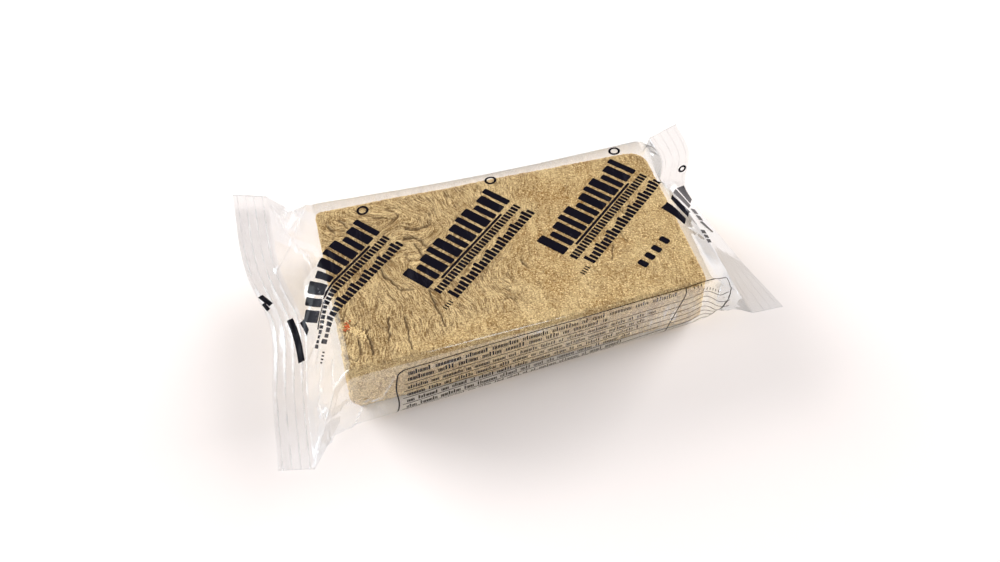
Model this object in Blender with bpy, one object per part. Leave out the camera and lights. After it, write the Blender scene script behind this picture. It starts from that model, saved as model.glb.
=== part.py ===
"""Sunflower halva: a pressed block sealed in a clear flow pack, lying on its base.

The pack is one closed solid: the outer face of the film, with the block filling it. X runs along
the pack from the left seal to the right one, the front is towards -Y, and the base is on Z = 0,
under the middle of the block.

A point of the film has two coordinates, both in metres: "along", which equals X over the block
and goes on over the gables and seals, and "around", which starts at the front foot and goes up
the front, over the top, down the back and under the base.
"""

import math

import bmesh
import bpy
import numpy as np

# The pressed block. Each pair holds the value at the left and at the right end.
BLOCK_LENGTH = 0.150
BLOCK_HEIGHT = 0.0275
BLOCK_FRONT = (-0.0426, -0.0409)
BLOCK_BACK = (0.0456, 0.0384)
FILM_GAP = 0.0006

# The film stands off the foot of the front at the left, and its back fold runs free.
FOOT_REACH = (0.0074, 0.0003)
FOLD_Y = (0.0500, 0.0470)
FOLD_Z = (0.0300, 0.0275)
FOLD_SAG = 0.0028

# Where the film's edges lie around the tube, and the seal fold halfway up the front.
FRONT_TOP = 0.0280
BACK_TOP = 0.1140
BACK_FOLD = 0.1220
BACK_FOOT = 0.1490
GIRTH = 0.2440
SEAL_FOLD = 0.0120
SEAL_WIDTH = GIRTH / 2

# The ends: a gable that closes towards the seal, and the seal's crimped band.
GABLE = 0.0170
SEAL_BAND = 0.0140
SEAL_THICKNESS = 0.0010
CRIMPS = 4
CRIMP_HEIGHT = 0.0003
EDGE_ROUND = 0.0032

# How far the band's inner side lies to the front of its outer edge, for each metre of its depth.
SEAL_SLANT = 0.25

# Each seal's outer edge from front to back: share of its width, X, Y, Z, and the tilt of the
# band, which is how steeply it rises towards the block, in degrees.
LEFT_SEAL = (
    (0.00, -0.1086, -0.0607, 0.0010, 1),
    (0.27, -0.1060, -0.0300, 0.0070, 4),
    (0.50, -0.1018, -0.0020, 0.0160, 8),
    (0.68, -0.1066, 0.0186, 0.0265, 2),
    (1.00, -0.1066, 0.0570, 0.0375, -8),
)
RIGHT_SEAL = (
    (0.00, 0.1093, -0.0439, 0.0010, 4),
    (0.30, 0.0970, -0.0151, 0.0100, 38),
    (0.62, 0.0870, 0.0168, 0.0212, 34),
    (0.70, 0.0885, 0.0210, 0.0218, 20),
    (0.84, 0.0937, 0.0311, 0.0270, 4),
    (1.00, 0.0933, 0.0471, 0.0300, -6),
)

# Facets.
SHEET_STEPS = 36
BODY_STEPS = 14
GABLE_STEPS = 7
BAND_STEPS = 2 * CRIMPS

# The finish of a tan block behind clear film.
HALVA_COLOUR = (0.50, 0.36, 0.19, 1.0)
HALVA_ROUGHNESS = 0.6


def clear_scene():
    for obj in list(bpy.data.objects):
        bpy.data.objects.remove(obj)


def between(pair, x):
    """The value at x of something that runs straight from the left end to the right end."""
    share = np.clip(x / BLOCK_LENGTH + 0.5, 0.0, 1.0)
    return pair[0] + (pair[1] - pair[0]) * share


def through(rows, share):
    """A smooth curve through rows that each start with their share of the way."""
    rows = np.array(rows)
    knots, values = rows[:, 0], rows[:, 1:]
    slopes = np.gradient(values, knots, axis=0)
    i = int(np.clip(np.searchsorted(knots, share, side="right") - 1, 0, len(knots) - 2))
    step = knots[i + 1] - knots[i]
    u = (share - knots[i]) / step
    return (
        values[i] * (1 + 2 * u) * (1 - u) ** 2
        + slopes[i] * step * u * (1 - u) ** 2
        + values[i + 1] * u * u * (3 - 2 * u)
        + slopes[i + 1] * step * u * u * (u - 1)
    )


def tube_point(x, around):
    """The film's point over the block, at a place around the tube."""
    fold_z = between(FOLD_Z, x) - FOLD_SAG * math.cos(math.pi * x / BLOCK_LENGTH)
    top = BLOCK_HEIGHT + FILM_GAP
    front_foot = between(BLOCK_FRONT, x) - between(FOOT_REACH, x)
    corners = (
        (0.0, front_foot, 0.0),
        (FRONT_TOP, between(BLOCK_FRONT, x) - FILM_GAP, top),
        (BACK_TOP, between(BLOCK_BACK, x) + FILM_GAP, top),
        (BACK_FOLD, between(FOLD_Y, x), fold_z),
        (BACK_FOOT, between(BLOCK_BACK, x) + FILM_GAP, 0.0),
        (GIRTH, front_foot, 0.0),
    )
    places, ys, zs = zip(*corners)
    around = around % GIRTH
    return np.array((x, np.interp(around, places, ys), np.interp(around, places, zs)))


def seal_share(around):
    """How far along the seal's width a place around the tube is, and 1 on top or -1 below."""
    past = (around - SEAL_FOLD) % GIRTH
    if past <= SEAL_WIDTH:
        return past / SEAL_WIDTH, 1
    return (GIRTH - past) / SEAL_WIDTH, -1


def seal_point(side, across, around):
    """A point of the seal band on the top or bottom sheet; across is 0 inside and 1 outside."""
    share, sheet = seal_share(around)
    x, y, z, tilt = through(LEFT_SEAL if side < 0 else RIGHT_SEAL, share)
    inward = SEAL_BAND * (1 - across)
    slant = SEAL_SLANT if side < 0 else SEAL_SLANT * share
    centre = np.array(
        (
            x - side * inward * math.cos(math.radians(tilt)),
            y - slant * inward,
            z + inward * math.sin(math.radians(tilt)),
        )
    )
    crimp = CRIMP_HEIGHT * math.sin(math.pi * CRIMPS * across) ** 2
    taper = min(1.0, 12 * share, 12 * (1 - share))
    lift = sheet * taper * (SEAL_THICKNESS / 2 + crimp)
    return centre + np.array((0.0, -0.3, 0.95)) * lift


def film_point(along, around):
    """The film's point before its edges are rounded."""
    half = BLOCK_LENGTH / 2
    side = -1 if along < 0 else 1
    beyond = abs(along) - half
    if beyond <= 0:
        return tube_point(along, around)
    if beyond >= GABLE:
        return seal_point(side, min(1.0, (beyond - GABLE) / SEAL_BAND), around)
    start = tube_point(side * half, around)
    end = seal_point(side, 0.0, around)
    return start + (end - start) * beyond / GABLE


def rounded_point(along, around):
    """The film's point with every edge of the block rounded, but the seals left sharp."""
    beyond = abs(along) - BLOCK_LENGTH / 2
    reach = EDGE_ROUND * min(1.0, max(0.0, (GABLE - beyond) / GABLE))
    offsets = [reach * step / 2 for step in range(-2, 3)]
    points = [film_point(along + a, around + b) for a in offsets for b in offsets]
    point = np.mean(points, axis=0)
    point[2] = max(point[2], 0.0)
    return point


def stations():
    """The places along the pack that the rings of the mesh use, from left to right."""
    half = BLOCK_LENGTH / 2
    near = half - EDGE_ROUND
    gable = half + GABLE
    right = [
        *np.linspace(near, gable, GABLE_STEPS + 1),
        *np.linspace(gable, gable + SEAL_BAND, BAND_STEPS + 1)[1:],
    ]
    body = np.linspace(-near, near, BODY_STEPS + 1)[1:-1]
    return [-place for place in reversed(right)] + list(body) + right


def places_around():
    """The places round the tube that each ring uses: the same shares on both its sheets."""
    shares = np.linspace(0.0, 1.0, SHEET_STEPS + 1)
    top = SEAL_FOLD + SEAL_WIDTH * shares
    bottom = SEAL_FOLD - SEAL_WIDTH * shares[-2:0:-1]
    return [*top, *bottom]


def close_end(mesh, ring):
    """A strip of quads between the two sheets of a seal's outer edge."""
    last = len(ring)
    mesh.faces.new((ring[0], ring[1], ring[last - 1]))
    for i in range(1, SHEET_STEPS - 1):
        mesh.faces.new((ring[i], ring[i + 1], ring[last - i - 1], ring[last - i]))
    middle = SHEET_STEPS
    mesh.faces.new((ring[middle - 1], ring[middle], ring[middle + 1]))


def pack_mesh():
    """The closed mesh: rings round the tube, joined by quads, with a strip closing each end."""
    mesh = bmesh.new()
    rings = [
        [mesh.verts.new(rounded_point(along, around)) for around in places_around()]
        for along in stations()
    ]
    for ring, following in zip(rings, rings[1:]):
        for i, vertex in enumerate(ring):
            j = (i + 1) % len(ring)
            mesh.faces.new((vertex, following[i], following[j], ring[j]))
    close_end(mesh, rings[0])
    close_end(mesh, rings[-1])
    bmesh.ops.recalc_face_normals(mesh, faces=mesh.faces)
    return mesh


def halva_material():
    material = bpy.data.materials.new("halva_behind_film")
    material.use_nodes = True
    shader = material.node_tree.nodes["Principled BSDF"]
    shader.inputs["Base Color"].default_value = HALVA_COLOUR
    shader.inputs["Roughness"].default_value = HALVA_ROUGHNESS
    shader.inputs["Metallic"].default_value = 0.0
    material.diffuse_color = HALVA_COLOUR
    return material


def make_pack():
    data = bpy.data.meshes.new("halva_pack")
    mesh = pack_mesh()
    mesh.to_mesh(data)
    mesh.free()
    data.shade_smooth()
    data.set_sharp_from_angle(angle=math.radians(35))
    data.materials.append(halva_material())
    pack = bpy.data.objects.new("halva_pack", data)
    bpy.context.scene.collection.objects.link(pack)
    return pack


def main():
    clear_scene()
    make_pack()


main()
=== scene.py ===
"""Sunflower halva in a clear flow pack: the visible pieces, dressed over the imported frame.

The pressed block, its loose grains and crumbs, the film and the plain bar print stand for the one
solid of the frame. X runs along the pack from the left seal to the right one, the front is towards
-Y and the base is on Z = 0. A point of the film has two coordinates: "along", which equals X over
the block and goes on over the gables and seals, and "around", which starts at the front foot and
goes up the front, over the top, down the back and under the base.
"""

import math

import bpy
import numpy as np
from bpy.props import FloatProperty, FloatVectorProperty, IntProperty, PointerProperty
from mathutils import Matrix, Vector


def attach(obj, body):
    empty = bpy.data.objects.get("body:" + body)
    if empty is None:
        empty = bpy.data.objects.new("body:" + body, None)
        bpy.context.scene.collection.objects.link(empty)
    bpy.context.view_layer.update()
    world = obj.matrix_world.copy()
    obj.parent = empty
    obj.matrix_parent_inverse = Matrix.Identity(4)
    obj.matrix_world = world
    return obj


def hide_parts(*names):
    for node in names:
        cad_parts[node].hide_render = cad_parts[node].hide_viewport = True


bl_info = {
    "name": "Halva flow pack",
    "version": (1, 0, 0),
    "blender": (4, 5, 0),
    "location": "View3D > Sidebar > Halva pack",
    "description": "Dresses the halva pack's frame with its block, crumb, film and print",
    "category": "Object",
}

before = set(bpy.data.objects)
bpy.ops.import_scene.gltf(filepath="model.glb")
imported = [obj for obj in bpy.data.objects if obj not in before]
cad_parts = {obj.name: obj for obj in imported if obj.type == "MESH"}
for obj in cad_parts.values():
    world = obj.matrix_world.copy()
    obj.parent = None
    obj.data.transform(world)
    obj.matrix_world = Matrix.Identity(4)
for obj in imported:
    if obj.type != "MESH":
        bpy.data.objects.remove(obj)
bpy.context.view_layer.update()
NODE = "halva_pack"
ROOT = "root"
MM = 0.001
TINY = 1e-12
# Brings the noise's raw range up to about -1 to 1.
NOISE_GAIN = 1.6

# The pack's own sizes, the same as the frame's. Pairs hold the left and the right end.
BLOCK_LENGTH = 0.150
HALF_BLOCK = BLOCK_LENGTH / 2
BLOCK_HEIGHT = 0.0275
BLOCK_FRONT = (-0.0426, -0.0409)
BLOCK_BACK = (0.0456, 0.0384)
FILM_GAP = 0.0006
FOOT_REACH = (0.0074, 0.0003)
FOLD_Y = (0.0500, 0.0470)
FOLD_Z = (0.0300, 0.0275)
FOLD_SAG = 0.0028
FRONT_TOP = 0.0280
BACK_TOP = 0.1140
BACK_FOLD = 0.1220
BACK_FOOT = 0.1490
GIRTH = 0.2440
SEAL_FOLD = 0.0120
SEAL_WIDTH = GIRTH / 2
GABLE = 0.0170
SEAL_BAND = 0.0140
CRIMPS = 4
EDGE_ROUND = 0.0032
SEAL_SLANT = 0.25
FILM_END = HALF_BLOCK + GABLE + SEAL_BAND

# The thin film itself: its gauge and crimps, how quickly the seal's sheets part from its two
# tips, the way its sheets part, the tube's mean radius in millimetres, and the cells of its ends.
FILM_GAUGE = 0.0003
CRIMP_HEIGHT = 0.00005
SEAL_TAPER = 12
SEAL_NORMAL = (0.0, -0.3, 0.95)
TUBE_RADIUS = 38
GABLE_CELLS = 28
BAND_CELLS = 32

# The block inside the film: its width before it tapers, its corner radii at the front and the
# back of each end, how far its foot draws in along X and Y, and the cells of its surface.
BLOCK_WIDTH = 0.084
CORNER_RADII = ((0.0040, 0.0030), (0.0045, 0.0085))
FOOT_HEIGHT = 0.0045
FOOT_PULL = (0.0026, 0.0016)
BASE_LIFT = 0.0001
BLOCK_CELLS = (300, 168, 46)
# In millimetres: where the granular walls begin, and how far the crumb stands up at most.
WALL_TOP = 26.0
HIGHEST_CRUMB = 0.22

# Each seal's outer edge from front to back: share of its width, X, Y, Z, tilt in degrees.
LEFT_SEAL = (
    (0.00, -0.1086, -0.0607, 0.0010, 1),
    (0.27, -0.1060, -0.0300, 0.0070, 4),
    (0.50, -0.1018, -0.0020, 0.0160, 8),
    (0.68, -0.1066, 0.0186, 0.0265, 2),
    (1.00, -0.1066, 0.0570, 0.0375, -8),
)
RIGHT_SEAL = (
    (0.00, 0.1093, -0.0439, 0.0010, 4),
    (0.30, 0.0970, -0.0151, 0.0100, 38),
    (0.62, 0.0870, 0.0168, 0.0212, 34),
    (0.70, 0.0885, 0.0210, 0.0218, 20),
    (0.84, 0.0937, 0.0311, 0.0270, 4),
    (1.00, 0.0933, 0.0471, 0.0300, -6),
)

# Creases of the film in millimetres: along and around at both ends, height, half width, haze; the
# haze whitens the film along the crease, partly as stress-whitening and partly as painted highlight.
CREASES = (
    (-84.5, 104, -91, 129, 1.1, 2.4, 0.5),
    (-84.5, 104, -76.5, 122, 1.2, 2.6, 0.6),
    (-84.5, 104, -79, 88, 0.9, 1.8, 0.5),
    (-84.5, 104, -93, 97, 0.8, 1.6, 0.4),
    (-80, 76, -74.5, 55, 0.6, 1.1, 0.8),
    (-74.5, 74, -80.5, 61, 0.6, 1.1, 0.8),
    (-80.5, 61, -86, 47, 0.7, 1.5, 0.5),
    (-84.5, 22, -86.5, 33, 1.0, 1.6, 0.7),
    (-86.5, 33, -83, 46, 0.9, 1.6, 0.6),
    (-84.5, 22, -79.5, 28, 1.0, 1.6, 0.8),
    (-79.5, 28, -77.5, 40, 0.9, 1.6, 0.6),
    (-84.5, 22, -92, 13.5, 0.9, 1.5, 0.6),
    (-84.5, 22, -85, 6, 0.9, 1.5, 0.5),
    (-84.5, 22, -71, 13, 0.8, 1.5, 0.5),
    (-56, 21, -63.5, 11.5, 0.9, 1.4, 0.7),
    (-63.5, 11.5, -70, 13, 0.8, 1.4, 0.8),
    (-70, 13, -77.5, 1, 0.9, 1.5, 0.8),
    (76, 30, 88, 24, 0.9, 2.0, 0.2),
    (76, 20, 90, 15, 0.9, 2.0, 0.2),
    (77, 10, 91, 8, 0.8, 1.8, 0.2),
    (76, 60, 91, 52, 0.7, 1.8, 0.2),
    (77, 112, 91, 118, 0.9, 2.0, 0.3),
    (76, 96, 90, 92, 0.8, 2.0, 0.3),
)
# Patches of bright film that paint highlights, glints and reflections, partly also stress-whitening
# and milky film: along, around, half length, half width, haze.
HAZE_AND_GLINT_PATCHES = (
    (-84, 117, 5.5, 10, 0.75),
    (-88, 60, 4, 20, 0.25),
    (-83, 84, 4, 9, 0.35),
    (88, 122, 4, 6, 0.3),
    (-34, 20.8, 8.0, 0.8, 0.9),
    (1, 24.4, 9.0, 0.8, 0.8),
    (-74, 60, 1.6, 45, 0.26),
    (0, 113, 75, 3.0, 0.22),
    (-64, 4.5, 6.5, 5.5, 0.35),
    (-84, 14, 7, 12, 0.30),
    (60, 13, 26, 11, 0.58),
    (20, 12, 24, 8, 0.40),
)

# Cracks in the top of the block in millimetres: X and Y at both ends, depth, half width.
CRACKS = (
    (-52.3, 4.6, -49.4, -2.4, 0.7, 0.40),
    (-49.4, -2.4, -46.3, -8.3, 0.7, 0.40),
    (-46.3, -8.3, -41.0, -9.6, 0.5, 0.35),
    (-35.3, -11.7, -33.8, -21.7, 0.7, 0.40),
    (-33.8, -21.7, -32.5, -30.9, 0.6, 0.38),
    (-37.8, 24.3, -33.0, 22.3, 0.7, 0.42),
    (-33.0, 22.3, -28.3, 23.0, 0.7, 0.42),
    (-39.5, 18.5, -34.0, 18.0, 0.9, 0.55),
    (-34.0, 18.0, -31.5, 12.5, 0.7, 0.45),
    (-35.4, 14.7, -33.5, 6.0, 0.7, 0.42),
    (-53.5, -21.0, -55.0, -31.0, 0.6, 0.38),
    (-47.0, -22.0, -47.5, -38.0, 0.6, 0.38),
    (-63.0, -24.0, -62.0, -36.0, 0.7, 0.42),
    (-67.0, -28.0, -66.5, -35.0, 0.6, 0.42),
    (-70.0, 36.0, -67.5, 30.0, 0.6, 0.40),
    (-64.5, 38.0, -61.5, 32.5, 0.6, 0.38),
    (49.2, -4.2, 50.5, -11.0, 0.5, 0.35),
    (44.0, -11.0, 41.0, -18.0, 0.5, 0.35),
    (53.0, 8.0, 55.0, 1.0, 0.5, 0.35),
    (4.5, -7.0, 7.0, -12.0, 0.6, 0.38),
    (-20.0, 6.0, -17.5, 0.5, 0.5, 0.36),
    (-8.0, 20.0, -4.0, 13.0, 0.5, 0.36),
)
# Places where the strands turn: X, Y and reach in millimetres, and the turn in radians.
SWIRLS = (
    (-37, 17, 15, 2.3),
    (-66, 30, 13, -1.1),
    (-6, 2, 20, 0.9),
    (46, -14, 20, -0.9),
    (22, 24, 18, 0.8),
)

# The bar print, in millimetres: one group's origin, its slant, and the step from group to group.
GROUP_ORIGIN = (-30.4, -24.4)
GROUP_STEP = (57.75, 0.8)
GROUP_SLANT = math.atan2(0.637, 0.770)
GROUPS = (-1, 0, 1)
# The group's big bars, by width and height in turn, and the places of its ring and its rule
# along the slant and up from it.
BIG_BARS = ((4.4, 13.6), (3.0, 11.0), (4.4, 12.6), (3.0, 13.6))
BIG_BAR_COUNT = 12
BIG_BAR_START = 4.4
BIG_BAR_FOOT = 13.1
BIG_BAR_GAP = 1.25
GROUP_RING = (67.8, 27.9)
GROUP_RULE = (42.0, 1.2)
GROUP_RULE_PLACE = (33.0, 11.85)
# Rows of small bars: count, start, pitch, foot, widths in turn, heights in turn, corner radius.
SMALL_BARS = (
    (32, 6.0, 1.78, 7.1, (1.5, 1.2, 1.2), (3.7,), 0.2),
    (26, 8.2, 2.14, 0.0, (1.7, 1.4, 1.7), (5.4, 4.0, 4.0, 4.6), 0.25),
    (4, 0.6, 1.25, 0.0, (0.6,), (2.4,), 0.15),
)
# The four bars in place of the weight: their origin, the way they run, and where each lies.
WEIGHT_ORIGIN = (50.9, -25.6)
WEIGHT_RUN = (0.80, 0.59)
WEIGHT_BARS = (1.6, 6.5, 11.4, 17.3)
# Bars cut off by the ends, each by its four corners along and around the film.
END_BARS = (
    ((-98.4, 74.5), (-95.6, 75.5), (-92.8, 58.0), (-95.4, 57.0)),
    ((-93.4, 73.0), (-91.6, 74.2), (-89.4, 67.4), (-91.2, 66.6)),
    ((-105.6, 85.6), (-103.2, 86.6), (-100.8, 82.6), (-103.0, 81.4)),
    ((-105.6, 82.4), (-104.0, 83.2), (-103.0, 80.4), (-104.8, 79.4)),
    ((69.6, 74.4), (73.6, 77.0), (83.4, 64.0), (77.4, 61.6)),
    ((78.6, 77.6), (86.8, 77.8), (94.2, 66.2), (87.0, 63.8)),
    ((92.2, 77.4), (97.4, 82.4), (100.0, 71.8), (95.8, 69.0)),
    ((98.8, 83.6), (105.0, 88.2), (105.6, 77.2), (101.0, 73.2)),
    ((97.0, 69.2), (101.0, 69.8), (101.0, 67.0), (97.2, 66.4)),
    ((97.2, 65.8), (101.0, 66.2), (100.6, 63.4), (97.0, 63.0)),
    ((96.0, 61.8), (99.2, 62.8), (102.2, 58.0), (100.4, 57.2)),
    ((91.2, 56.6), (94.8, 57.0), (94.4, 55.0), (91.0, 54.6)),
    ((91.0, 54.0), (94.4, 54.4), (94.0, 52.6), (90.8, 52.2)),
    ((90.6, 51.6), (94.0, 52.0), (93.4, 50.0), (90.4, 49.6)),
)
# The ring beside them, and where the seals begin along the film.
END_RING = (103.2, 104.8)
SEAL_INNER = (HALF_BLOCK + GABLE) / MM
# How far the ink lies over the film in metres, and the size of its cells.
PRINT_LIFT = 0.00005
PRINT_STEP = 0.9

# The ruled panel on the front, in millimetres: its outline and its last column's line, by places
# along and around the film, and the place around the film that it runs down to.
PANEL_TOP = ((-52.0, 22.9), (-5.0, 25.0), (19.0, 25.8), (45.0, 27.2), (64.5, 27.8), (88.5, 30.5))
PANEL_LEFT = (
    (-59.5, -1.0),
    (-57.2, 6.0),
    (-57.0, 13.5),
    (-55.6, 19.5),
    (-54.5, 21.6),
    (-52.0, 22.9),
)
PANEL_COLUMN = ((64.5, 27.8), (64.2, 22.5), (60.5, 12.0), (57.5, 3.5), (56.5, -1.0))
PANEL_RIGHT = (
    (88.5, 30.5),
    (88.4, 26.0),
    (86.5, 22.5),
    (82.0, 15.5),
    (79.0, 6.0),
    (78.0, -1.0),
)
PANEL_FOOT = -1.0
# How far its left side leans out for each millimetre of depth under its top line.
PANEL_LEAN = 0.22
# The depths of its rules, its header rows by depth and by where each ends along the film, the
# heights of its ticks, and the bunches in its last column by depth, start and count.
PANEL_RULES = (7.6, 11.2, 14.6, 17.8, 20.8, 23.6, 26.2)
HEADER_ROWS = ((2.2, 60.0), (5.1, 31.0))
HEADER_LETTER = 2.4
ROW_LETTER = 1.9
COLUMN_TICKS = ((2.6, 68.0, 3), (6.4, 72.0, 6))

# The stage: the floor, and the camera's azimuth, elevation and roll in degrees, its distance
# and the point that it looks at.
FLOOR_REACH = 6.0
FLOOR_Z = -0.0001
CAMERA_ANGLES = (-10.42, 51.32, -5.29)
CAMERA_DISTANCE = 0.4428
CAMERA_TARGET = (-0.0021, 0.0059, 0.0)


def add_piece(name, mesh_data, material, stands_for_node=False):
    made = bpy.data.objects.new(name, mesh_data)
    bpy.context.scene.collection.objects.link(made)
    mesh_data.materials.append(material)
    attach(made, ROOT)
    if stands_for_node:
        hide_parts(NODE)
    return made


def mesh_from(name, points, faces):
    """A smooth mesh from an array of points and lists or arrays of faces."""
    data = bpy.data.meshes.new(name)
    lists = [face.tolist() if hasattr(face, "tolist") else face for face in faces]
    data.from_pydata(np.asarray(points).tolist(), [], [f for block in lists for f in block])
    data.validate()
    data.shade_smooth()
    return data


def write_attribute(data, name, values):
    """Stores one number, or a row of three, for each point of a mesh."""
    kind, field = ("FLOAT_VECTOR", "vector") if np.ndim(values) == 2 else ("FLOAT", "value")
    layer = data.attributes.new(name, kind, "POINT")
    layer.data.foreach_set(field, np.asarray(values, dtype=np.float32).ravel())


def read_values(rows, field, width=1):
    """One field of all the rows of a mesh, such as its vertices, as an array."""
    values = np.empty(len(rows) * width, dtype=np.float32)
    rows.foreach_get(field, values)
    return values.reshape(-1, width) if width > 1 else values


def limited(value):
    """The value kept between 0 and 1."""
    return np.clip(value, 0.0, 1.0)


def smoothstep(low, high, value):
    """A soft step from 0 at low to 1 at high."""
    share = limited((value - low) / (high - low))
    return share * share * (3 - 2 * share)


def hashed(table, place):
    """A number below 256 for each cell of a lattice, from a shuffled table."""
    key = table[place[:, 0] & 255]
    key = table[(key + place[:, 1]) & 255]
    return table[(key + place[:, 2]) & 255]


def gradient_noise(points, seed):
    """Smooth noise from about -1 to 1 at each row of three coordinates, with waves about 1 long.

    Coordinates in millimetres are divided by the size of the waves that a caller wants, and each
    use has a seed of its own.
    """
    random = np.random.default_rng(seed)
    table = random.permutation(256)
    gradients = random.normal(size=(256, 3))
    gradients /= np.linalg.norm(gradients, axis=1)[:, None]
    cell = np.floor(points).astype(int)
    offset = points - cell
    fade = offset**3 * (offset * (6 * offset - 15) + 10)
    total = np.zeros(len(points))
    for corner in np.ndindex(2, 2, 2):
        value = ((offset - corner) * gradients[hashed(table, cell + corner)]).sum(axis=1)
        total += value * np.where(corner, fade, 1 - fade).prod(axis=1)
    return NOISE_GAIN * total


def noise_at(x, y, z, seed):
    """Smooth noise at coordinates that are given one by one."""
    return gradient_noise(np.stack(np.broadcast_arrays(x, y, z), axis=1), seed)


def layered_noise(points, seed):
    """Smooth noise with a second layer, twice as fine and half as strong."""
    return gradient_noise(points, seed) + gradient_noise(points * 2 + 17.3, seed + 1) / 2


def cell_noise(points, seed):
    """The distance to the nearest of one random spot in each unit cell."""
    random = np.random.default_rng(seed)
    table = random.permutation(256)
    spots = random.random((256, 3))
    cell = np.floor(points).astype(int)
    nearest = np.full(len(points), np.inf)
    for step in np.ndindex(3, 3, 3):
        place = cell + np.array(step) - 1
        distance = np.linalg.norm(place + spots[hashed(table, place)] - points, axis=1)
        nearest = np.minimum(nearest, distance)
    return nearest


def segment_distance(x, y, x0, y0, x1, y1):
    """How far each point is from a segment, and its share of the way along it."""
    dx, dy = x1 - x0, y1 - y0
    share = np.clip(((x - x0) * dx + (y - y0) * dy) / (dx * dx + dy * dy), 0.0, 1.0)
    return np.hypot(x - x0 - share * dx, y - y0 - share * dy), share


def between(pair, x):
    """The value at x of something that runs straight from the left end to the right end."""
    return pair[0] + (pair[1] - pair[0]) * limited(x / BLOCK_LENGTH + 0.5)


def through(rows, share):
    """A smooth curve through rows that each start with their share of the way."""
    rows = np.array(rows)
    knots, values = rows[:, 0], rows[:, 1:]
    slopes = np.gradient(values, knots, axis=0)
    i = np.clip(np.searchsorted(knots, share, side="right") - 1, 0, len(knots) - 2)
    step = (knots[i + 1] - knots[i])[:, None]
    u = (share - knots[i])[:, None] / step
    return (
        values[i] * (1 + 2 * u) * (1 - u) ** 2
        + slopes[i] * step * u * (1 - u) ** 2
        + values[i + 1] * u * u * (3 - 2 * u)
        + slopes[i + 1] * step * u * u * (u - 1)
    )


def tube_points(x, around):
    """The film over the block, at places around the tube."""
    fold_z = between(FOLD_Z, x) - FOLD_SAG * np.cos(math.pi * x / BLOCK_LENGTH)
    top = np.full_like(x, BLOCK_HEIGHT + FILM_GAP)
    floor = np.zeros_like(x)
    front_foot = between(BLOCK_FRONT, x) - between(FOOT_REACH, x)
    back = between(BLOCK_BACK, x) + FILM_GAP
    front = between(BLOCK_FRONT, x) - FILM_GAP
    places = np.array((0, FRONT_TOP, BACK_TOP, BACK_FOLD, BACK_FOOT, GIRTH))
    ys = np.array((front_foot, front, back, between(FOLD_Y, x), back, front_foot))
    zs = np.array((floor, top, top, fold_z, floor, floor))
    around = around % GIRTH
    i = np.clip(np.searchsorted(places, around, side="right") - 1, 0, len(places) - 2)
    u = (around - places[i]) / (places[i + 1] - places[i])
    n = np.arange(len(x))
    y = ys[i, n] * (1 - u) + ys[i + 1, n] * u
    z = zs[i, n] * (1 - u) + zs[i + 1, n] * u
    return np.stack((x, y, z), axis=1)


def seal_share(around):
    """How far along the seal's width a place around the tube is, and 1 on top or -1 below."""
    past = (around - SEAL_FOLD) % GIRTH
    on_top = past <= SEAL_WIDTH
    return np.where(on_top, past, GIRTH - past) / SEAL_WIDTH, np.where(on_top, 1, -1)


def crimp_share(side, share):
    """How fully the crimps show: they are pressed flat where the right seal folds over."""
    flat = smoothstep(0.10, 0.30, share) * (1 - smoothstep(0.66, 0.80, share))
    return np.where(side > 0, 1 - 0.92 * flat, 1.0)


def seal_points(side, across, around, gauge, crimp_height):
    """The seal bands, at shares of their depth from the inside out and places around the tube."""
    share, sheet = seal_share(around)
    rows = np.where(side[:, None] < 0, through(LEFT_SEAL, share), through(RIGHT_SEAL, share))
    inward = SEAL_BAND * (1 - across)
    slant = np.where(side < 0, SEAL_SLANT, SEAL_SLANT * share)
    tilt = np.radians(rows[:, 3])
    centre = np.stack(
        (
            rows[:, 0] - side * inward * np.cos(tilt),
            rows[:, 1] - slant * inward,
            rows[:, 2] + inward * np.sin(tilt),
        ),
        axis=1,
    )
    taper = np.minimum(1, SEAL_TAPER * np.minimum(share, 1 - share))
    crimp = crimp_height * crimp_share(side, share) * np.sin(math.pi * CRIMPS * across) ** 6
    lift = taper * (sheet * gauge / 2 + crimp)
    return centre + np.array(SEAL_NORMAL) * lift[:, None]


def film_points(along, around, gauge, crimp_height):
    """The film before its edges are rounded: the tube, the gables and the seal bands."""
    side = np.where(along < 0, -1.0, 1.0)
    beyond = np.abs(along) - HALF_BLOCK
    body = tube_points(np.clip(along, -HALF_BLOCK, HALF_BLOCK), around)
    across = limited((beyond - GABLE) / SEAL_BAND)
    band = seal_points(side, across, around, gauge, crimp_height)
    return body + (band - body) * limited(beyond / GABLE)[:, None]


def rounded_points(along, around):
    """The film with every edge of the block rounded, but the seals left sharp."""
    beyond = np.abs(along) - HALF_BLOCK
    reach = EDGE_ROUND * limited((GABLE - beyond) / GABLE)
    total = np.zeros((len(along), 3))
    steps = range(-2, 3)
    for a in steps:
        for b in steps:
            places = along + reach * a / 2, around + reach * b / 2
            total += film_points(*places, FILM_GAUGE, CRIMP_HEIGHT)
    points = total / len(steps) ** 2
    points[:, 2] = np.maximum(points[:, 2], 0.0)
    return points


def gable_length(along, around):
    """How long the film really is from the block's end to the seal's inner line."""
    places = np.linspace(0, GIRTH, 241)
    lengths = []
    for side in (-1, 1):
        start = film_points(np.full_like(places, side * HALF_BLOCK), places, 0.0, 0.0)
        end = film_points(np.full_like(places, side * (HALF_BLOCK + GABLE)), places, 0.0, 0.0)
        lengths.append(np.interp(around % GIRTH, places, np.linalg.norm(end - start, axis=1)))
    return np.where(along < 0, lengths[0], lengths[1])


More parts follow.
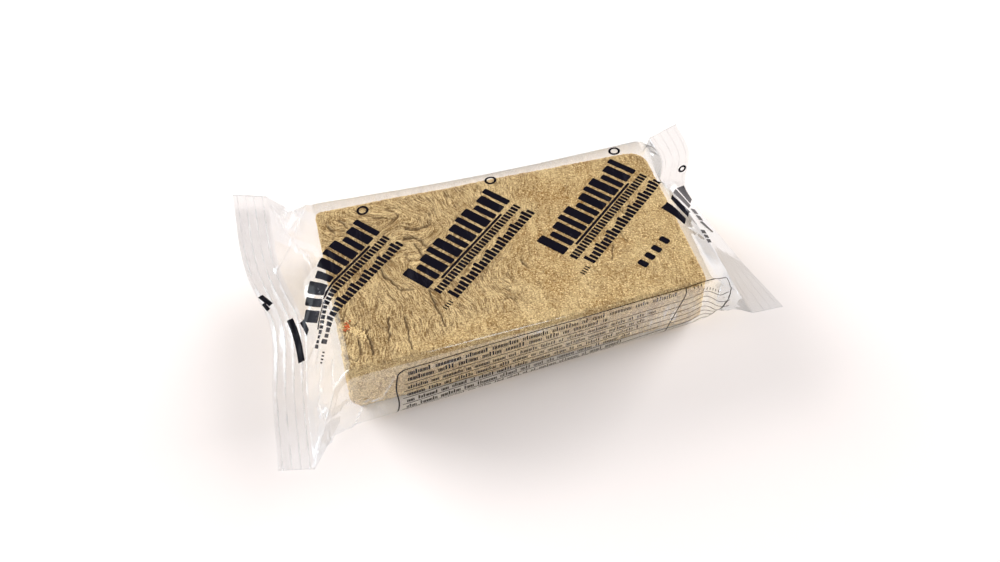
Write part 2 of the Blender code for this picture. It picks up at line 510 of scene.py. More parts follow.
def slack_film(a, b, slack):
    """The height and haze of the film's broad waves and, where it is slack, of its pleats.

    Here and below, a and b are the places along and around the film in millimetres.
    """
    turn = b * 2 * np.pi / (GIRTH / MM)
    wrapped = np.stack((a, TUBE_RADIUS * np.cos(turn), TUBE_RADIUS * np.sin(turn)), axis=1)
    pleat = np.stack((a / 16, b / 5.5 + 0.05 * a, np.sign(a)), axis=1)
    height = 0.10 * gradient_noise(wrapped / 17, seed=5) * (1 - slack)
    loose = gradient_noise(pleat, seed=8) + gradient_noise(wrapped / 9, seed=9)
    haze = 0.10 * slack * limited(gradient_noise(pleat * 1.7, seed=12))
    return height + 0.40 * slack * loose, haze


def crease_film(a, b, room, height, haze):
    """Adds the creases to the height and, with the patches of painted highlights and reflections, to
    the haze; along the creases the haze is partly stress-whitening and partly painted highlight.
    """
    for a0, b0, a1, b1, rise, width, white in CREASES:
        wobble = 0.5 * noise_at(a / 5 + rise, b / 5 + rise, rise, seed=21)
        distance, share = segment_distance(a + wobble, b + wobble, a0, b0, a1, b1)
        ends = 0.45 + 0.55 * np.sin(math.pi * np.clip(share, 0.04, 0.96))
        height = height + rise * ends * limited(1 - distance / width) ** 1.6 * room
        haze = np.maximum(haze, white * ends * limited(1 - distance / (0.35 * width)))
    streaks = limited(0.55 + 0.6 * noise_at(a / 2.2, b / 7, 0, seed=31))
    for a0, b0, reach_a, reach_b, white in HAZE_AND_GLINT_PATCHES:
        inside = np.exp(-(((a - a0) / reach_a) ** 2) - ((b - b0) / reach_b) ** 2)
        haze = np.maximum(haze, white * inside * streaks)
    return height, haze


def film_relief(along, around):
    """The height of the film's creases, waves and pleats over its rounded form, and its haze, which
    also paints highlights along its creases and crimps.
    """
    a, b = along / MM, around / MM
    beyond = np.abs(a) - HALF_BLOCK / MM
    gable = GABLE / MM
    room = np.clip(gable_length(along, around) / GABLE, 0.12, 1.0)
    slack = limited(np.minimum(beyond / 6, (gable + 2 - beyond) / 5)) * room
    height, haze = slack_film(a, b, slack)
    height, haze = crease_film(a, b, room, height, haze)
    across = limited((beyond - gable) / (SEAL_BAND / MM))
    in_band = limited(beyond - gable)
    crinkle = noise_at(a / 2.5, b / 1.3, 0, seed=41)
    height += in_band * (0.03 + 0.06 * smoothstep(0.6, 1.0, across)) * crinkle
    share, _ = seal_share(around)
    # Painted highlights: thin white streaks along the crests of the crimps.
    crest_glint = limited(np.sin(math.pi * CRIMPS * across) ** 2 - 0.94) / 0.06
    broken = limited(0.5 + noise_at(a / 3, b / 6, 0, seed=43))
    haze = np.maximum(haze, 0.55 * in_band * crest_glint * broken * crimp_share(a, share))
    haze = haze * np.where(a > 0, 1 - 0.65 * limited(beyond / 3), 1.0)
    near_foot = limited(np.minimum(around % GIRTH, (GIRTH - around) % GIRTH) / 0.003)
    under = (around % GIRTH > BACK_FOOT) & (beyond < 0)
    height = np.where(under, 0.0, height * np.where(beyond < 0, near_foot, 1.0))
    return height * MM, limited(haze)


def film_surface(along, around, lift=0.0):
    """Points of the finished film, its outward normals and its haze, with its painted highlights."""
    step = 0.0004
    points = rounded_points(along, around)
    by_along = rounded_points(along + step, around) - rounded_points(along - step, around)
    by_around = rounded_points(along, around + step) - rounded_points(along, around - step)
    normals = np.cross(by_along, by_around)
    normals /= np.maximum(np.linalg.norm(normals, axis=1), TINY)[:, None]
    height, haze = film_relief(along, around)
    points = points + normals * (height + lift)[:, None]
    points[:, 2] = np.maximum(points[:, 2], 0.0)
    return points, normals, haze


def feed(tree, socket, value):
    """Links an output to a socket, or sets the socket to a plain value."""
    if isinstance(value, bpy.types.NodeSocket):
        tree.links.new(value, socket)
    else:
        socket.default_value = value


def add(tree, kind, inputs=None, **settings):
    """A node with its settings and inputs; an input may be a value or another node's output."""
    made = tree.nodes.new(kind)
    for name, value in settings.items():
        setattr(made, name, value)
    for key, value in (inputs or {}).items():
        feed(tree, made.inputs[key], value)
    return made


def mix_colours(tree, factor, first, second, blend="MIX"):
    """The mix of two colours, by the numbered sockets that a colour mix uses."""
    inputs = {0: factor, 6: first, 7: second}
    return add(tree, "ShaderNodeMix", inputs, data_type="RGBA", blend_type=blend).outputs[2]


def calculate(tree, operation, first, second=0.5, third=0.0, clamp=False):
    """The result of a sum on up to three values."""
    inputs = {0: first, 1: second, 2: third}
    return add(tree, "ShaderNodeMath", inputs, operation=operation, use_clamp=clamp).outputs[0]


def spread(tree, value, low, high, to_low=0.0, to_high=1.0):
    """Maps a value from one range to another, clamped."""
    ranges = {"From Min": low, "From Max": high, "To Min": to_low, "To Max": to_high}
    return add(tree, "ShaderNodeMapRange", {"Value": value, **ranges}).outputs["Result"]


def noise(tree, position, scale, detail, roughness=0.5):
    """The value of a noise texture at a position."""
    inputs = {"Vector": position, "Scale": scale, "Detail": detail, "Roughness": roughness}
    return add(tree, "ShaderNodeTexNoise", inputs).outputs["Fac"]


def attribute(tree, name, output="Fac"):
    """What a mesh stores for each of its points under this name."""
    return add(tree, "ShaderNodeAttribute", attribute_name=name).outputs[output]


def bump(tree, height, strength, distance):
    """The normal of a surface with fine relief on it."""
    inputs = {"Height": height, "Strength": strength, "Distance": distance}
    return add(tree, "ShaderNodeBump", inputs).outputs["Normal"]


def new_group(name, inputs, outputs):
    """A shader node group with named sockets, and its input and output nodes."""
    group = bpy.data.node_groups.new(name, "ShaderNodeTree")
    for socket, kind, default in inputs:
        made = group.interface.new_socket(socket, in_out="INPUT", socket_type=kind)
        if default is not None:
            made.default_value = default
    for socket in outputs:
        group.interface.new_socket(socket, in_out="OUTPUT", socket_type="NodeSocketFloat")
    return group, group.nodes.new("NodeGroupInput"), group.nodes.new("NodeGroupOutput")


def crumb_group():
    """Mottle, pale flecks, pits and fine relief of pressed seed paste; the pits also paint shade
    where a material darkens its colour with them.
    """
    name = "pressed_crumb"
    if name in bpy.data.node_groups:
        return bpy.data.node_groups[name]
    group, given, out = new_group(
        name,
        (
            ("Position", "NodeSocketVector", None),
            ("Fleck Size", "NodeSocketFloat", 0.0011),
            ("Patch Size", "NodeSocketFloat", 0.020),
        ),
        ("Mottle", "Fleck", "Pit", "Relief"),
    )
    position = given.outputs["Position"]
    fleck_scale = calculate(group, "DIVIDE", 1.0, given.outputs["Fleck Size"])
    patch_scale = calculate(group, "DIVIDE", 1.0, given.outputs["Patch Size"])
    cells = add(group, "ShaderNodeTexVoronoi", {"Vector": position, "Scale": fleck_scale})
    keep = spread(group, cells.outputs["Color"], 0.40, 0.48)
    spot = spread(group, cells.outputs["Distance"], 0.24, 0.40, 1.0, 0.0)
    fleck = calculate(group, "MULTIPLY", keep, spot)
    pit = spread(group, noise(group, position, 620.0, 2.0, 0.6), 0.60, 0.74)
    fine = noise(group, position, 1500.0, 3.0)
    relief = calculate(group, "MULTIPLY_ADD", fleck, 0.5, fine)
    feed(group, out.inputs["Mottle"], noise(group, position, patch_scale, 4.0))
    feed(group, out.inputs["Fleck"], fleck)
    feed(group, out.inputs["Pit"], pit)
    feed(group, out.inputs["Relief"], calculate(group, "SUBTRACT", relief, pit))
    return group


def scuff_group():
    """Faint handling haze and fine waves, shared by the film and the ink on it."""
    name = "film_scuff"
    if name in bpy.data.node_groups:
        return bpy.data.node_groups[name]
    group, given, out = new_group(
        name,
        (("Position", "NodeSocketVector", None), ("Amount", "NodeSocketFloat", 0.5)),
        ("Haze", "Relief"),
    )
    position = given.outputs["Position"]
    stretched = add(group, "ShaderNodeMapping", {"Vector": position, "Scale": (1.0, 0.25, 1.0)})
    marks = noise(group, stretched.outputs["Vector"], 260.0, 4.0, 0.7)
    haze = calculate(group, "MULTIPLY", spread(group, marks, 0.56, 0.80), given.outputs["Amount"])
    feed(group, out.inputs["Haze"], haze)
    feed(group, out.inputs["Relief"], noise(group, position, 170.0, 2.0))
    return group


def new_material(name):
    """A material with its tree and its shader."""
    material = bpy.data.materials.new(name)
    material.use_nodes = True
    tree = material.node_tree
    return material, tree, tree.nodes["Principled BSDF"]


def object_position(tree):
    """The place on the object, for textures that stay with it."""
    return add(tree, "ShaderNodeTexCoord").outputs["Object"]


def place_group(tree, group, inputs):
    """A shared node group, placed in a material with the material's own values."""
    return add(tree, "ShaderNodeGroup", inputs, node_tree=group).outputs


def set_shader(tree, shader, inputs):
    """Feeds the shader's own sockets."""
    for name, value in inputs.items():
        feed(tree, shader.inputs[name], value)


def with_alpha(colour):
    """An opaque colour, as a node's colour socket takes it."""
    return (*colour, 1.0)


def halva_material(settings):
    """Fibrous straw-coloured paste that turns golden and granular, with shade painted darker into
    its cracks, pits and seams.
    """
    material, tree, shader = new_material("halva_pressed")
    position = object_position(tree)
    straw, beige, golden, cream, crevice_shade = (
        with_alpha(getattr(settings, name))
        for name in ("straw", "beige", "golden", "cream", "crevice_shade")
    )
    sizes = {"Position": position, "Fleck Size": 0.0010, "Patch Size": 0.016}
    crumb = place_group(tree, crumb_group(), sizes)
    grain, strand, hollow_shade = (attribute(tree, name) for name in ("grain", "strand", "hollow_shade"))
    flow = attribute(tree, "flow", "Vector")
    fibrous = calculate(tree, "SUBTRACT", 1.0, grain, clamp=True)

    def along_flow(stretch, scale, detail, rough):
        """Noise drawn out along the strands."""
        drawn = add(tree, "ShaderNodeMapping", {"Vector": flow, "Scale": (1.0, stretch, 0.6)})
        return noise(tree, drawn.outputs["Vector"], scale, detail, rough)

    threads = along_flow(0.13, 2300.0, 4.0, 0.70)
    strokes = along_flow(0.34, 780.0, 2.0, 0.60)
    seams = along_flow(0.40, 240.0, 3.0, 0.55)
    speck = noise(tree, position, 1500.0, 2.0)

    # How light each spot is, from its mottle, strands, threads and specks.
    mottle = spread(tree, crumb["Mottle"], 0.35, 0.66)
    tone = calculate(tree, "MULTIPLY_ADD", mottle, 0.26, 0.36)
    tone = calculate(tree, "MULTIPLY_ADD", strand, 0.26, tone)
    thread = calculate(tree, "MULTIPLY_ADD", fibrous, 0.50, 0.14)
    thread = calculate(tree, "MULTIPLY", spread(tree, threads, 0.34, 0.66, -1.0, 1.0), thread)
    tone = calculate(tree, "ADD", thread, tone)
    tone = calculate(tree, "ADD", spread(tree, speck, 0.32, 0.68, -0.36, 0.36), tone, clamp=True)

    # The paste's colour, lighter or darker by its tone, with pale flecks.
    stranded = mix_colours(tree, mottle, straw, beige)
    granular = mix_colours(tree, mottle, golden, straw)
    ground = mix_colours(tree, grain, stranded, granular)
    shaded = mix_colours(tree, 1.0, ground, (0.52, 0.44, 0.31, 1.0), "MULTIPLY")
    lighter = mix_colours(tree, 0.80, ground, cream)
    body = mix_colours(tree, tone, shaded, lighter)
    fleck_share = calculate(tree, "MULTIPLY_ADD", grain, 0.75, 0.20)
    fleck = calculate(tree, "MULTIPLY", crumb["Fleck"], fleck_share)
    flecked = mix_colours(tree, fleck, body, cream)

    # How deep each spot lies: pits, hollows, strokes between strands and their seams. The depth
    # lowers the bump and also paints shade: the colour darkens with it.
    stroke = calculate(tree, "MULTIPLY_ADD", fibrous, 0.50, 0.22)
    stroke = calculate(tree, "MULTIPLY", spread(tree, strokes, 0.58, 0.66), stroke)
    seam = calculate(tree, "ABSOLUTE", calculate(tree, "SUBTRACT", seams, 0.5))
    seam = spread(tree, seam, 0.0, 0.014, 0.95, 0.0)
    broken = spread(tree, crumb["Mottle"], 0.44, 0.56)
    seam = calculate(tree, "MULTIPLY", seam, calculate(tree, "MULTIPLY", broken, fibrous))
    pit = calculate(tree, "MULTIPLY", crumb["Pit"], 0.50)
    deep = calculate(tree, "MAXIMUM", pit, calculate(tree, "MULTIPLY", hollow_shade, 0.85))
    deep = calculate(tree, "MAXIMUM", deep, calculate(tree, "MAXIMUM", stroke, seam))
    height = calculate(tree, "MULTIPLY_ADD", threads, 0.8, crumb["Relief"])
    height = calculate(tree, "SUBTRACT", height, calculate(tree, "MULTIPLY", deep, 0.8))

    looks = {
        # Painted shade: cracks, pits, strokes and seams darken the colour by their depth.
        "Base Color": mix_colours(tree, deep, flecked, crevice_shade),
        "Roughness": spread(tree, crumb["Mottle"], 0.3, 0.7, 0.52, 0.70),
        "Normal": bump(tree, height, 0.6, 0.00025),
        "Specular IOR Level": 0.35,
    }
    set_shader(tree, shader, looks)
    material.diffuse_color = straw
    return material


def grain_material(name, pale, dark):
    """A crumb or grain: its own tone, the paste's mottle, shade painted in its pits, and a dull
    surface.
    """
    material, tree, shader = new_material(name)
    position = object_position(tree)
    sizes = {"Position": position, "Fleck Size": 0.0006, "Patch Size": 0.006}
    crumb = place_group(tree, crumb_group(), sizes)
    tone = attribute(tree, "tone")
    share = calculate(tree, "MULTIPLY_ADD", crumb["Mottle"], 0.3, tone, clamp=True)
    body = mix_colours(tree, share, with_alpha(dark), with_alpha(pale))
    # Painted shade: the grain's pits darken its colour.
    pit = calculate(tree, "MULTIPLY", crumb["Pit"], 0.3)
    looks = {
        "Base Color": mix_colours(tree, pit, body, with_alpha(dark)),
        "Roughness": spread(tree, crumb["Mottle"], 0.3, 0.7, 0.45, 0.65),
        "Normal": bump(tree, crumb["Relief"], 0.4, 0.0002),
    }
    set_shader(tree, shader, looks)
    material.diffuse_color = with_alpha(pale)
    return material


def film_material(settings):
    """Thin clear film: mostly see-through, glossy, whitened along its creases and crimps, partly as
    stress-whitening and partly as painted highlights and glints, and darkened as painted shade where
    it covers most.
    """
    material, tree, shader = new_material("clear_film")
    position = object_position(tree)
    scuff = place_group(tree, scuff_group(), {"Position": position, "Amount": 0.10})
    # The film's haze attribute holds whitening with painted highlights, glints and reflections; the
    # scuffs add faint handling marks.
    whitening_and_glint, cover = attribute(tree, "haze"), attribute(tree, "cover")
    haze = calculate(tree, "MAXIMUM", whitening_and_glint, scuff["Haze"], clamp=True)
    colour = mix_colours(tree, haze, with_alpha(settings.tint), with_alpha(settings.whitening_and_glint_colour))
    # Painted shade: where the cover passes 2.2 the film's colour darkens, standing in for the shadow
    # that the film doesn't cast.
    shade = spread(tree, cover, 2.2, 2.6, 1.0, 0.6)
    edge = add(tree, "ShaderNodeLayerWeight", {"Blend": 0.5}).outputs["Facing"]
    steep = calculate(tree, "POWER", edge, 3.2)
    body = spread(tree, steep, 0.0, 1.0, settings.body_alpha, settings.edge_alpha)
    body = calculate(tree, "MULTIPLY", body, cover)
    looks = {
        "Base Color": mix_colours(tree, 1.0, colour, shade, "MULTIPLY"),
        "Roughness": spread(tree, haze, 0.0, 1.0, 0.09, 0.42),
        "Metallic": spread(tree, haze, 0.05, 0.55, 1.0, 0.0),
        "Alpha": calculate(tree, "MULTIPLY_ADD", haze, settings.haze_alpha, body, clamp=True),
        "Normal": bump(tree, scuff["Relief"], 0.35, 0.0004),
    }
    set_shader(tree, shader, looks)
    material.diffuse_color = (*settings.tint, 0.2)
    return material


def ink_material(settings):
    """Near-black ink behind the film's gloss, with faint scuffs."""
    material, tree, shader = new_material("print_ink")
    position = object_position(tree)
    scuff = place_group(tree, scuff_group(), {"Position": position, "Amount": 0.6})
    ink = with_alpha(settings.ink)
    faded = mix_colours(tree, 0.5, ink, (0.06, 0.06, 0.08, 1.0))
    looks = {
        "Base Color": mix_colours(tree, scuff["Haze"], ink, faded),
        "Roughness": spread(tree, scuff["Haze"], 0.0, 0.6, 0.13, 0.28),
        "Normal": bump(tree, scuff["Relief"], 0.3, 0.0004),
        "Specular IOR Level": 0.3,
    }
    set_shader(tree, shader, looks)
    material.diffuse_color = ink
    return material


def rounded_plan(x, y, length):
    """Rounds the box's corners in plan: X, Y, the way out in plan, and how far in each point is."""
    left, right = (np.where(y > 0, back, front) for front, back in CORNER_RADII)
    corner = np.where(x > 0, right, left)
    a = np.abs(x) - (length / 2 - corner)
    b = np.abs(y) - (BLOCK_WIDTH / 2 - corner)
    in_corner = (a > 0) & (b > 0)
    shrink = np.where(in_corner, np.maximum(a, b) / np.maximum(np.hypot(a, b), TINY), 1.0)
    a, b = a * shrink, b * shrink
    reach = np.maximum(np.hypot(a, b), TINY)
    out_x = np.where(in_corner, a / reach, a > b)
    out_y = np.where(in_corner, b / reach, a <= b)
    inset = corner - np.where(in_corner, np.hypot(a, b), np.maximum(a, b))
    x = np.sign(x) * (a + length / 2 - corner)
    y = np.sign(y) * (b + BLOCK_WIDTH / 2 - corner)
    return x, y, np.sign(x) * out_x, np.sign(y) * out_y, inset


def block_shell(cells):
    """Lattice points and quads of a box's shell, with its base left as one flat face."""
    nx, ny, nz = cells

    def patch(first, second, fixed, axis, flip):
        grid = np.zeros((first + 1, second + 1, 3), dtype=int)
        one, two = [k for k in range(3) if k != axis]
        grid[..., one] = np.arange(first + 1)[:, None]
        grid[..., two] = np.arange(second + 1)[None, :]
        grid[..., axis] = fixed
        quads = np.stack((grid[:-1, :-1], grid[1:, :-1], grid[1:, 1:], grid[:-1, 1:]), axis=2)
        quads = quads.reshape(-1, 4, 3)
        return quads[:, ::-1] if flip else quads

    quads = np.concatenate(
        (
            patch(nx, ny, nz, 2, False),
            patch(nx, nz, 0, 1, False),
            patch(nx, nz, ny, 1, True),
            patch(ny, nz, 0, 0, True),
            patch(ny, nz, nx, 0, False),
        )
    )
    keys = quads.reshape(-1, 3)
    lattice, index = np.unique(keys, axis=0, return_inverse=True)
    faces = index.reshape(-1, 4)
    finder = {tuple(p): n for n, p in enumerate(lattice.tolist()) if p[2] == 0}
    loop = [(0, j) for j in range(ny)] + [(i, ny) for i in range(nx)]
    loop += [(nx, j) for j in range(ny, 0, -1)] + [(i, 0) for i in range(nx, 0, -1)]
    base = [finder[(i, j, 0)] for i, j in loop]
    return lattice, faces, base


def block_form(lattice, cells, settings):
    """The block before its crumb: rounded corners in plan, a rounded top edge, its taper."""
    length = BLOCK_LENGTH - 2 * settings.clearance
    shares = lattice / np.array(cells)
    x = (shares[:, 0] - 0.5) * length
    y = (shares[:, 1] - 0.5) * BLOCK_WIDTH
    drop = settings.height - shares[:, 2] * settings.height
    x, y, out_x, out_y, inset = rounded_plan(x, y, length)
    radius = settings.edge_radius
    near = (inset < radius) & (drop < radius)
    centre = np.stack((radius - inset, radius - drop), axis=1)
    size = np.maximum(np.linalg.norm(centre, axis=1), TINY)
    scale = np.abs(centre).max(axis=1) / size
    moved = np.where(near, radius - centre[:, 0] * scale, inset) - inset
    x = x - out_x * moved
    y = y - out_y * moved
    z = settings.height - np.where(near, radius - centre[:, 1] * scale, drop)
    raised = smoothstep(0.002, 0.010, z)
    front = between(BLOCK_FRONT, x) + settings.clearance
    back = between(BLOCK_BACK, x) - settings.clearance + settings.back_bulge * raised
    y = front + (y / BLOCK_WIDTH + 0.5) * (back - front)
    at_corner = smoothstep(0.060, 0.075, -x) * smoothstep(0.005, 0.035, -y)
    x = x - settings.toe * at_corner * (1 - smoothstep(0.004, 0.024, z))
    foot = 1 - smoothstep(0.0, FOOT_HEIGHT, z)
    x = x - out_x * FOOT_PULL[0] * foot
    y = y - out_y * FOOT_PULL[1] * foot
    return np.stack((x, y, z + BASE_LIFT), axis=1)


def granular_share(p, wander, from_front, from_edge):
    """How granular the paste is: at the right, along the front and the edges, and on the walls."""
    x, y, z = p.T
    grain = smoothstep(-14, 26, x + 12 * wander - 0.25 * y)
    front_band = 1 - smoothstep(7, 15, from_front + 5 * wander + 0.04 * np.abs(x + 5))
    grain = np.maximum(grain, 0.95 * front_band * smoothstep(-58, -44, x))
    grain = np.maximum(grain, 0.75 * (1 - smoothstep(1.0, 3.5, from_edge + wander)))
    grain = np.maximum(grain, 0.8 * (z < WALL_TOP))
    calm = smoothstep(0.15, 0.7, layered_noise(p / 19 + 4, seed=71)) * smoothstep(15, 30, x)
    return grain * (1 - 0.6 * calm)


def cut_cracks(p, sx, sy, fibrous, fine_depth):
    """How much shade is painted at each point for its cracks and nicks, and how deep they cut there.
    """
    x, y, z = p.T
    hollow_shade, depth = np.zeros(len(p)), np.zeros(len(p))
    wx = x + 0.9 * gradient_noise(p / 2.6, seed=23)
    wy = y + 0.9 * gradient_noise(p / 2.6, seed=29)
    for x0, y0, x1, y1, deep, wide in CRACKS:
        distance, _ = segment_distance(wx, wy, x0, y0, x1, y1)
        cut = limited(1.25 - distance / (1.45 * wide))
        hollow_shade = np.maximum(hollow_shade, cut * limited(4 * deep - 1.2))
        depth = np.maximum(depth, deep * cut)
    seam = np.abs(noise_at(sx / 6, sy / 15, z / 9, seed=37))
    patchy = smoothstep(-0.1, 0.5, gradient_noise(p / 12, seed=39)) * fibrous
    fine_crack = limited(1.1 - seam / 0.050) * patchy
    hollow_shade = np.maximum(hollow_shade, 0.85 * fine_crack)
    depth = np.maximum(depth, fine_depth * fine_crack)
    nick = smoothstep(0.42, 0.75, noise_at(sx / 1.3, sy / 3.4, z / 2, seed=47))
    hollow_shade = np.maximum(hollow_shade, 0.22 * nick * (0.35 + 0.65 * fibrous))
    return hollow_shade, depth + 0.12 * nick


def swirled(x, y):
    """Plan coordinates turned about each swirl, so that strands that run along Y bend round it."""
    for cx, cy, reach, turn in SWIRLS:
        dx, dy = x - cx, y - cy
        angle = turn * np.exp(-(dx * dx + dy * dy) / (reach * reach))
        x = cx + dx * np.cos(angle) - dy * np.sin(angle)
        y = cy + dx * np.sin(angle) + dy * np.cos(angle)
    return x, y


def crumb_fields(points, settings):
    """Relief along the normal, how granular and stranded each point is, the shade painted in its
    cracks, and its flow.

    The sums are in millimetres: p is the points, sx and sy their plan along the strands.
    """
    p = points / MM
    x, y, z = p.T
    wander = layered_noise(p / 14, seed=3)
    from_front = y - between(BLOCK_FRONT, points[:, 0]) / MM
    from_back = between(BLOCK_BACK, points[:, 0]) / MM - y
    from_end = HALF_BLOCK / MM - np.abs(x)
    from_edge = np.minimum(np.minimum(from_back, from_end), from_front)
    grain = granular_share(p, wander, from_front, from_edge)
    fibrous = 1 - 0.8 * grain
    sx = x + 2.2 * gradient_noise(p / 9, seed=4)
    sy = y + 2.2 * gradient_noise(p / 11, seed=6)
    sx, sy = swirled(sx, sy)
    fine = np.stack((sx / 1.25, sy / 8, z / 3), axis=1)
    strand = 0.6 * noise_at(sx / 3.4, sy / 17, z / 6, seed=11)
    strand += 0.55 * gradient_noise(fine, seed=13)
    strand += 0.35 * gradient_noise(fine * (1.9, 1.7, 2.0), seed=14)
    bead = 1 - smoothstep(0.0, 0.55, cell_noise(p / 1.15, seed=17))
    hollow_shade, depth = cut_cracks(p, sx, sy, fibrous, settings.crack_depth / MM)
    from_left = np.minimum(x + HALF_BLOCK / MM, from_front + 1.5)
    ragged = (1 - smoothstep(0.5, 5.0, from_left + wander)) * smoothstep(40, 62, -x)
    depth += 0.9 * ragged * limited(0.25 + layered_noise(p / 4.5, seed=83))
    wall = limited((WALL_TOP + 0.5 - z) / 3)
    height = 0.20 * gradient_noise(p / 26, seed=51) + 0.10 * gradient_noise(p / 7, seed=53) - 0.08
    height += settings.strand_relief / MM * strand * fibrous
    height += settings.grain_relief / MM * (bead - 0.4) * (0.3 + 0.7 * grain)
    height += 0.09 * gradient_noise(p, seed=57)
    height += 0.22 * wall * layered_noise(p / 2.4, seed=61)
    height = np.minimum(height - depth, HIGHEST_CRUMB)
    flow = np.stack((sx, sy, z), axis=1) * MM
    return height * MM, grain, strand, limited(hollow_shade), flow


def icosahedron():
    """Points and faces of a unit icosahedron."""
    golden = (1 + 5**0.5) / 2
    points = []
    for one in (-1, 1):
        for two in (-golden, golden):
            points += [(0, one, two), (one, two, 0), (two, 0, one)]
    points = np.array(points) / math.hypot(1, golden)
    edge = 2 / math.hypot(1, golden) * 1.01
    faces = []
    for i in range(12):
        for j in range(i + 1, 12):
            for k in range(j + 1, 12):
                sides = points[[i, j, k]] - points[[j, k, i]]
                if (np.linalg.norm(sides, axis=1) < edge).all():
                    out = np.dot(np.cross(points[j] - points[i], points[k] - points[i]), points[i])
                    faces.append((i, j, k) if out > 0 else (i, k, j))
    return points, np.array(faces)


def joined_grains(centres, normals, sizes, flatness, random):
    """One mesh of grains, each turned at random about its own normal and set on it."""
    unit, faces = icosahedron()
    count = len(centres)
    helper = random.normal(size=(count, 3))
    one = np.cross(normals, helper)
    one /= np.linalg.norm(one, axis=1)[:, None]
    two = np.cross(normals, one)
    shape = unit[None] * (1 + 0.22 * random.normal(size=(count, 12, 1)).clip(-1.5, 1.5))
    stretch = np.stack((sizes, sizes * random.uniform(0.6, 1.0, count), sizes * flatness), axis=1)
    local = shape * stretch[:, None, :]
    points = (
        centres[:, None]
        + local[..., :1] * one[:, None]
        + local[..., 1:2] * two[:, None]
        + local[..., 2:] * normals[:, None]
    )
    index = faces[None] + 12 * np.arange(count)[:, None, None]
    return points.reshape(-1, 3), index.reshape(-1, 3)


def grid_quads(rows, columns):
    """The quads of a grid of points that are stored row by row."""
    i, j = np.meshgrid(np.arange(rows - 1), np.arange(columns - 1), indexing="ij")
    corner = (i * columns + j).reshape(-1, 1)
    return corner + np.array((0, columns, columns + 1, 1))


def rounded_patch(width, height, radius, step=PRINT_STEP):
    """A flat grid patch with rounded corners, centred on the origin, and its quads."""
    def stops(size):
        inner = size / 2 - radius
        core = np.linspace(-inner, inner, max(1, int(round(2 * inner / step))) + 1)
        low = [-size / 2 + radius * k / 2 for k in range(2)]
        return np.array([*low, *core, *[-v for v in reversed(low)]])

    us, vs = stops(width), stops(height)
    u, v = np.meshgrid(us, vs, indexing="ij")
    inner_u = np.clip(u, -(width / 2 - radius), width / 2 - radius)
    inner_v = np.clip(v, -(height / 2 - radius), height / 2 - radius)
    du, dv = u - inner_u, v - inner_v
    scale = np.maximum(np.abs(du), np.abs(dv)) / np.maximum(np.hypot(du, dv), TINY)
    u, v = inner_u + du * scale, inner_v + dv * scale
    return np.stack((u.ravel(), v.ravel()), axis=1), grid_quads(len(us), len(vs))


def ring_patch(diameter, line, steps=28):
    """A flat ring of a line's width, centred on the origin, and its quads."""
    angles = np.linspace(0, 2 * math.pi, steps, endpoint=False)
    spokes = np.stack((np.cos(angles), np.sin(angles)), axis=1)
    points = np.concatenate((spokes * (diameter / 2 - line), spokes * diameter / 2))
    i = np.arange(steps)
    j = (i + 1) % steps
    return points, np.stack((i, i + steps, j + steps, j), axis=1)


class Sheet:
    """Gathers flat patches in film coordinates, in millimetres, into one mesh on the film."""

    def __init__(self):
        self.points, self.quads, self.count = [], [], 0

    def place(self, patch, along, around):
        """Keeps the cells of a patch that lie on the top sheet, inside the film's ends."""
        points, quads = patch
        inside = np.abs(along) < FILM_END / MM - 0.3
        inside &= (around > SEAL_FOLD / MM + 0.4) | (np.abs(along) < SEAL_INNER)
        inside &= around < (SEAL_FOLD + SEAL_WIDTH) / MM - 0.4
        keep = inside[quads].all(axis=1)
        if keep.any():
            self.points.append(np.stack((along, around), axis=1))
            self.quads.append(quads[keep] + self.count)
            self.count += len(points)

    def place_as_is(self, patch):
        """Places a patch whose points are film coordinates already."""
        self.place(patch, patch[0][:, 0], patch[0][:, 1])

    def place_slanted(self, patch, origin, run, t, n):
        """Places a patch over the block's top, t along and n across a line from the origin."""
        rise = np.array((-run[1], run[0]))
        flat = origin + (patch[0][:, :1] + t) * run + (patch[0][:, 1:] + n) * rise
        self.place(patch, *plan_to_film(flat[:, 0], flat[:, 1]))

    def mesh(self, name):
        """The mesh of all the patches, on the finished film."""
        flat = np.concatenate(self.points) * MM
        quads = np.concatenate(self.quads)
        used, index = np.unique(quads, return_inverse=True)
        flat, quads = flat[used], index.reshape(-1, 4)
        points, normals, _ = film_surface(flat[:, 0], flat[:, 1], lift=PRINT_LIFT)
        first, second, third = (points[quads[:, k]] for k in range(3))
        facing = np.cross(second - first, third - first)
        turned = (facing * normals[quads[:, 0]]).sum(axis=1) < 0
        quads[turned] = quads[turned][:, ::-1]
        return mesh_from(name, points, [quads])


def plan_to_film(x, y):
    """The film coordinates, in millimetres, over a place on the block's top, also past its ends."""
    front = (between(BLOCK_FRONT, x * MM) - FILM_GAP) / MM
    back = (between(BLOCK_BACK, x * MM) + FILM_GAP) / MM
    span = (BACK_TOP - FRONT_TOP) / MM
    around = FRONT_TOP / MM + (y - front) * span / (back - front)
    half, gable = HALF_BLOCK / MM, GABLE / MM
    beyond = np.abs(x) - half
    length = gable_length(x * MM, around * MM) / MM
    past = np.where(beyond < length, beyond * gable / length, gable + beyond - length)
    return np.where(beyond > 0, np.sign(x) * (half + past), x), around


def four_sided(corners, cells=(8, 4)):
    """A patch between four corners in film coordinates, given in order round it."""
    a, b, c, d = (np.array(corner, float) for corner in corners)
    u, v = np.meshgrid(*(np.linspace(0, 1, count + 1) for count in cells), indexing="ij")
    u, v = u.reshape(-1, 1), v.reshape(-1, 1)
    points = (a * (1 - u) + b * u) * (1 - v) + (d * (1 - u) + c * u) * v
    return points, grid_quads(cells[0] + 1, cells[1] + 1)


def end_marks(sheet):
    """The bars of the groups that the pack's two ends cut off, and the ring beside them."""
    for corners in END_BARS:
        sheet.place_as_is(four_sided(corners))
    ring = ring_patch(4.6, 1.2)
    sheet.place_as_is((ring[0] * (0.9, 1.0) + END_RING, ring[1]))


